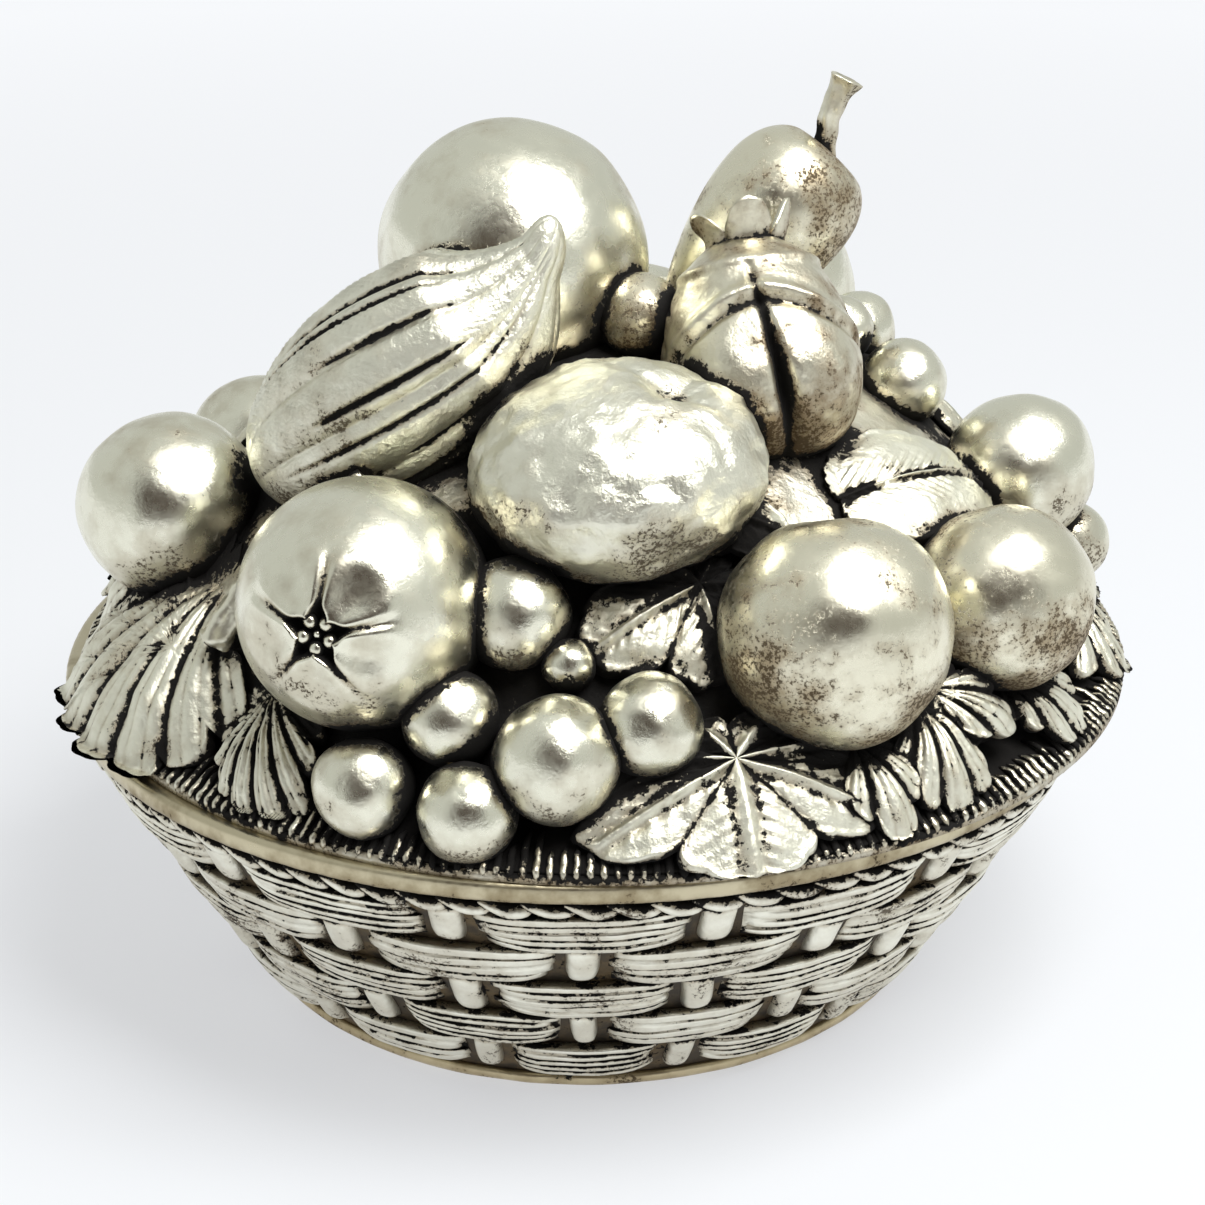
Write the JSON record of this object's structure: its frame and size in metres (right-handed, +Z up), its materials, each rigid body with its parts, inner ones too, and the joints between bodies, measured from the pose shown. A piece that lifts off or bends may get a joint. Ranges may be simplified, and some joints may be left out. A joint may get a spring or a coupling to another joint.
{
  "type": "lidded fruit basket box",
  "caption": "Round woven silver-plated basket with a lift-off lid heaped with apples, pear, figs, grapes and vine leaves.",
  "frame": {"origin": "centre of the basket's flat underside, on the table", "axes": "+Z up along the basket's axis, -Y to the side with the star-topped fruit and the front grapes, +X to its right"},
  "size_m": [0.1679, 0.1672, 0.1382],
  "materials": {
    "fruit_silver": "polished silver plate, lightly tarnished",
    "inside_silver": "plain silver plate",
    "leaf_silver": "satin silver plate, black in the veins",
    "lid_silver": "silver plate, darkened between the fruit",
    "rough_silver": "hammered silver plate",
    "tarnished_silver": "silver plate, worn brown in patches",
    "weave_silver": "silver plate over woven relief, black between the bands"
  },
  "bodies": {
    "basket": {"basket_shell": "inside_silver", "foot_ring": "weave_silver", "stakes": "weave_silver", "weave_row_1": "weave_silver", "weave_row_2": "weave_silver", "weave_row_3": "weave_silver", "weave_row_4": "weave_silver", "weave_row_5": "weave_silver", "rim_rope": "weave_silver", "rim_ledge": "weave_silver"},
    "lid_lip": {"lid_lip": "lid_silver"},
    "lid": {"lid_plate": "lid_silver", "lid_border": "lid_silver", "apple_back": "fruit_silver", "apple_front": "fruit_silver", "peach_right": "fruit_silver", "plum_left": "fruit_silver", "peach_back": "fruit_silver", "plum_small": "fruit_silver", "berry_right": "fruit_silver", "grape_right_1": "fruit_silver", "grape_right_2": "fruit_silver", "grape_right_3": "fruit_silver", "grape_front_1": "fruit_silver", "grape_front_2": "fruit_silver", "grape_front_3": "fruit_silver", "grape_front_4": "fruit_silver", "grape_front_5": "fruit_silver", "grape_front_6": "fruit_silver", "grape_stalk": "fruit_silver", "apple_rear": "fruit_silver", "quince_rear": "fruit_silver", "orange_rear": "fruit_silver", "peach_rear": "fruit_silver", "plum_rear_left": "fruit_silver", "plum_rear_right": "fruit_silver", "plum_side_left": "fruit_silver", "orange_centre": "rough_silver", "persimmon": "fruit_silver", "striped_fig": "tarnished_silver", "split_pod": "tarnished_silver", "pear_top": "fruit_silver", "pear_rear": "fruit_silver", "leaf_left": "leaf_silver", "leaf_left_behind": "leaf_silver", "leaf_left_fold": "leaf_silver", "leaf_centre": "leaf_silver", "leaf_small": "leaf_silver", "leaf_front": "leaf_silver", "leaf_fold_1": "leaf_silver", "leaf_fold_2": "leaf_silver", "leaf_fold_3": "leaf_silver", "leaf_fold_4": "leaf_silver", "leaf_right": "leaf_silver", "grapes_rear": "fruit_silver", "persimmon_seeds": "fruit_silver", "pod_crown": "fruit_silver", "pear_stem": "fruit_silver", "twig_left": "fruit_silver", "leaves_side": "fruit_silver"}
  },
  "joints": [
    {"name": "lid_lift", "type": "slide", "parent": "basket", "child": "lid_lip", "axis": [0, 0, 1], "range_m": [0, 0.1]},
    {"name": "lid_turn", "type": "hinge", "parent": "lid_lip", "child": "lid", "pos_m": [0.0029, 0, 0.0496], "axis": [0, 0, 1], "continuous": true}
  ]
}
